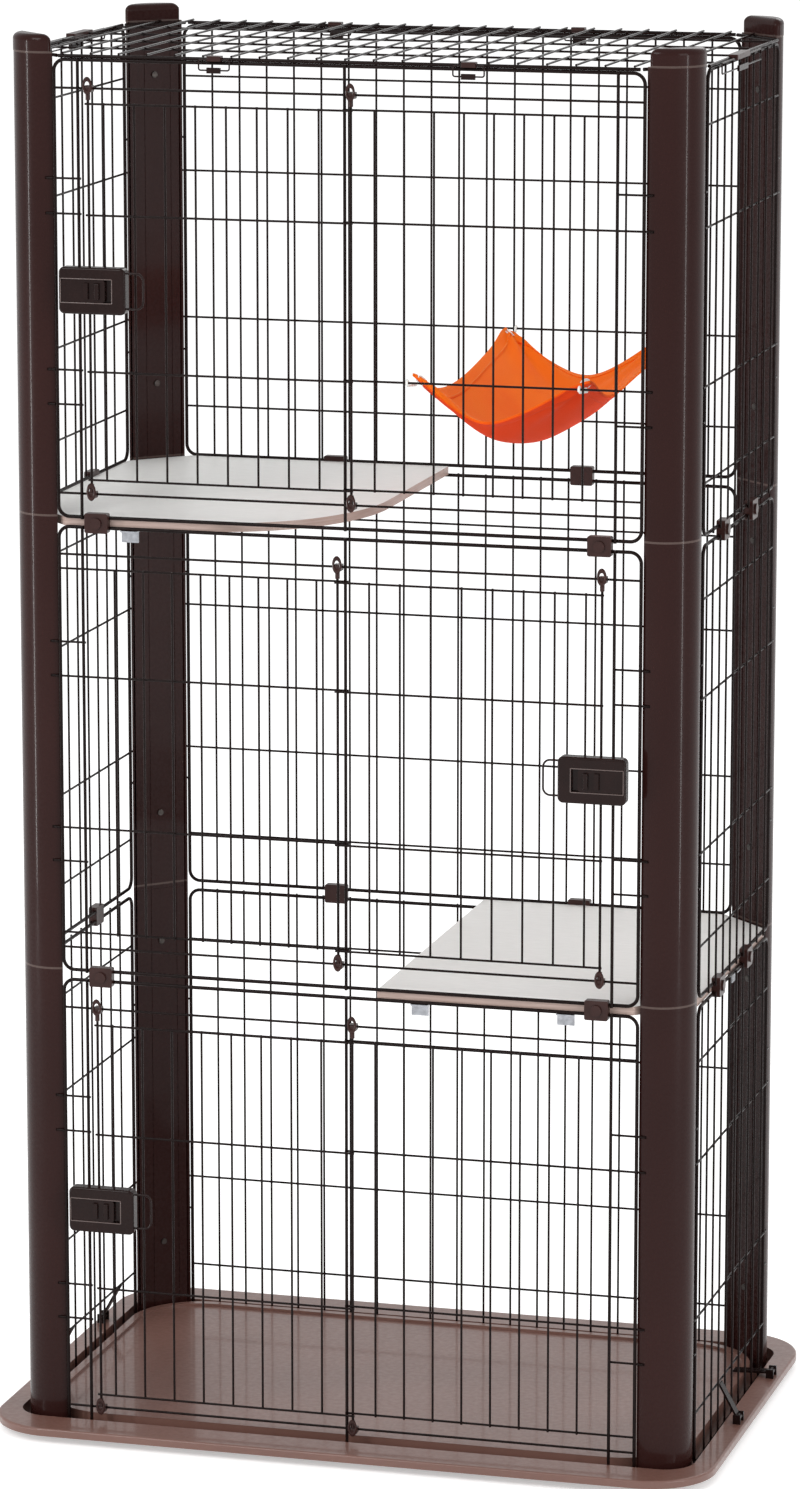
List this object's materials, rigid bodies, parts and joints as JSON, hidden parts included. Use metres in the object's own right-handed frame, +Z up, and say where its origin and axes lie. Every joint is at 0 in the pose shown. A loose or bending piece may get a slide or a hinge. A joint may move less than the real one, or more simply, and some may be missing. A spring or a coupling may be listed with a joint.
{
  "type": "cat cage",
  "caption": "Tall tiered wire pet cage on a moulded base tray, with rounded plastic corner posts, sliding grille doors with latches, part-width shelves and a hanging cloth hammock.",
  "frame": {"origin": "middle of the base tray's footprint, on the plane that it stands on", "axes": "+Z up, -Y towards the doors, +X towards the right side panel as seen from the doors"},
  "size_m": [0.944, 0.65, 1.7869],
  "materials": {
    "coated_wire": "satin coating",
    "post_plastic": "glossy",
    "tray_plastic": "fine texture",
    "clip_plastic": "satin",
    "latch_plastic": "satin",
    "laminate": "satin laminate",
    "zinc": "zinc plated",
    "screw_steel": "dull",
    "white_plastic": "glossy",
    "canvas": "plain weave"
  },
  "bodies": {
    "cage": {"base_tray": "tray_plastic", "post_inner_plates": "post_plastic", "post_caps": "post_plastic", "post_screws": "screw_steel", "roof_panel": "coated_wire", "shelf_upper": "laminate", "shelf_lower": "laminate", "shelf_brackets": "zinc", "bracket_screws": "zinc", "tier_clips": "clip_plastic", "hammock": "canvas", "hammock_hooks": "white_plastic", "tray_arm_pivots": "coated_wire", "roof_latch_blocks": "clip_plastic", "post_fl_1": "post_plastic", "post_fl_2": "post_plastic", "post_fl_3": "post_plastic", "post_fr_1": "post_plastic", "post_fr_2": "post_plastic", "post_fr_3": "post_plastic", "post_bl_1": "post_plastic", "post_bl_2": "post_plastic", "post_bl_3": "post_plastic", "post_br_1": "post_plastic", "post_br_2": "post_plastic", "post_br_3": "post_plastic", "front_panel_1": "coated_wire", "front_panel_2": "coated_wire", "front_panel_3": "coated_wire", "back_panel_1": "coated_wire", "back_panel_2": "coated_wire", "back_panel_3": "coated_wire", "left_panel_1": "coated_wire", "left_panel_2": "coated_wire", "left_panel_3": "coated_wire", "right_panel_1": "coated_wire", "right_panel_2": "coated_wire", "right_panel_3": "coated_wire"},
    "door_1": {"door_1": "coated_wire", "door_guides_1": "clip_plastic", "latch_case_1": "latch_plastic"},
    "latch_slider_1": {"latch_slider_1": "latch_plastic"},
    "door_2": {"door_2": "coated_wire", "door_guides_2": "clip_plastic", "latch_case_2": "latch_plastic"},
    "latch_slider_2": {"latch_slider_2": "latch_plastic"},
    "door_3": {"door_3": "coated_wire", "door_guides_3": "clip_plastic", "latch_case_3": "latch_plastic"},
    "latch_slider_3": {"latch_slider_3": "latch_plastic"},
    "roof_bail_front_left": {"roof_bail_front_left": "latch_plastic"},
    "roof_bail_front_right": {"roof_bail_front_right": "latch_plastic"},
    "roof_bail_back_left": {"roof_bail_back_left": "latch_plastic"},
    "roof_bail_back_right": {"roof_bail_back_right": "latch_plastic"},
    "roof_bail_left": {"roof_bail_left": "latch_plastic"},
    "roof_bail_right": {"roof_bail_right": "latch_plastic"},
    "tray_arm_left_front": {"tray_arm_left_front": "coated_wire"},
    "tray_arm_right_front": {"tray_arm_right_front": "coated_wire"},
    "tray_arm_left_rear": {"tray_arm_left_rear": "coated_wire"},
    "tray_arm_right_rear": {"tray_arm_right_rear": "coated_wire"}
  },
  "joints": [
    {"name": "door_1_slide", "type": "slide", "parent": "cage", "child": "door_1", "axis": [1, 0, 0], "range_m": [0, 0.318]},
    {"name": "latch_1_slide", "type": "slide", "parent": "door_1", "child": "latch_slider_1", "axis": [1, 0, 0], "range_m": [0, 0.008]},
    {"name": "door_2_slide", "type": "slide", "parent": "cage", "child": "door_2", "axis": [-1, 0, 0], "range_m": [0, 0.318]},
    {"name": "latch_2_slide", "type": "slide", "parent": "door_2", "child": "latch_slider_2", "axis": [-1, 0, 0], "range_m": [0, 0.008]},
    {"name": "door_3_slide", "type": "slide", "parent": "cage", "child": "door_3", "axis": [1, 0, 0], "range_m": [0, 0.318]},
    {"name": "latch_3_slide", "type": "slide", "parent": "door_3", "child": "latch_slider_3", "axis": [1, 0, 0], "range_m": [0, 0.008]},
    {"name": "roof_bail_front_left_hinge", "type": "hinge", "parent": "cage", "child": "roof_bail_front_left", "pos_m": [-0.1645, -0.27125, 1.7615], "axis": [-1, 0, 0], "range_deg": [0, 95]},
    {"name": "roof_bail_front_right_hinge", "type": "hinge", "parent": "cage", "child": "roof_bail_front_right", "pos_m": [0.156, -0.27125, 1.7615], "axis": [-1, 0, 0], "range_deg": [0, 95]},
    {"name": "roof_bail_back_left_hinge", "type": "hinge", "parent": "cage", "child": "roof_bail_back_left", "pos_m": [-0.1668, 0.27125, 1.7615], "axis": [1, 0, 0], "range_deg": [0, 95]},
    {"name": "roof_bail_back_right_hinge", "type": "hinge", "parent": "cage", "child": "roof_bail_back_right", "pos_m": [0.159, 0.27125, 1.7615], "axis": [1, 0, 0], "range_deg": [0, 95]},
    {"name": "roof_bail_left_hinge", "type": "hinge", "parent": "cage", "child": "roof_bail_left", "pos_m": [-0.44225, 0.033, 1.7615], "axis": [0, 1, 0], "range_deg": [0, 95]},
    {"name": "roof_bail_right_hinge", "type": "hinge", "parent": "cage", "child": "roof_bail_right", "pos_m": [0.44225, -0.045, 1.7615], "axis": [0, -1, 0], "range_deg": [0, 95]},
    {"name": "tray_arm_left_front_hinge", "type": "hinge", "parent": "cage", "child": "tray_arm_left_front", "pos_m": [-0.461, -0.06, 0.027], "axis": [0, -1, 0], "range_deg": [0, 105]},
    {"name": "tray_arm_right_front_hinge", "type": "hinge", "parent": "cage", "child": "tray_arm_right_front", "pos_m": [0.461, -0.06, 0.027], "axis": [0, 1, 0], "range_deg": [0, 105]},
    {"name": "tray_arm_left_rear_hinge", "type": "hinge", "parent": "cage", "child": "tray_arm_left_rear", "pos_m": [-0.461, 0.141, 0.027], "axis": [0, -1, 0], "range_deg": [0, 105]},
    {"name": "tray_arm_right_rear_hinge", "type": "hinge", "parent": "cage", "child": "tray_arm_right_rear", "pos_m": [0.461, 0.141, 0.027], "axis": [0, 1, 0], "range_deg": [0, 165]}
  ]
}
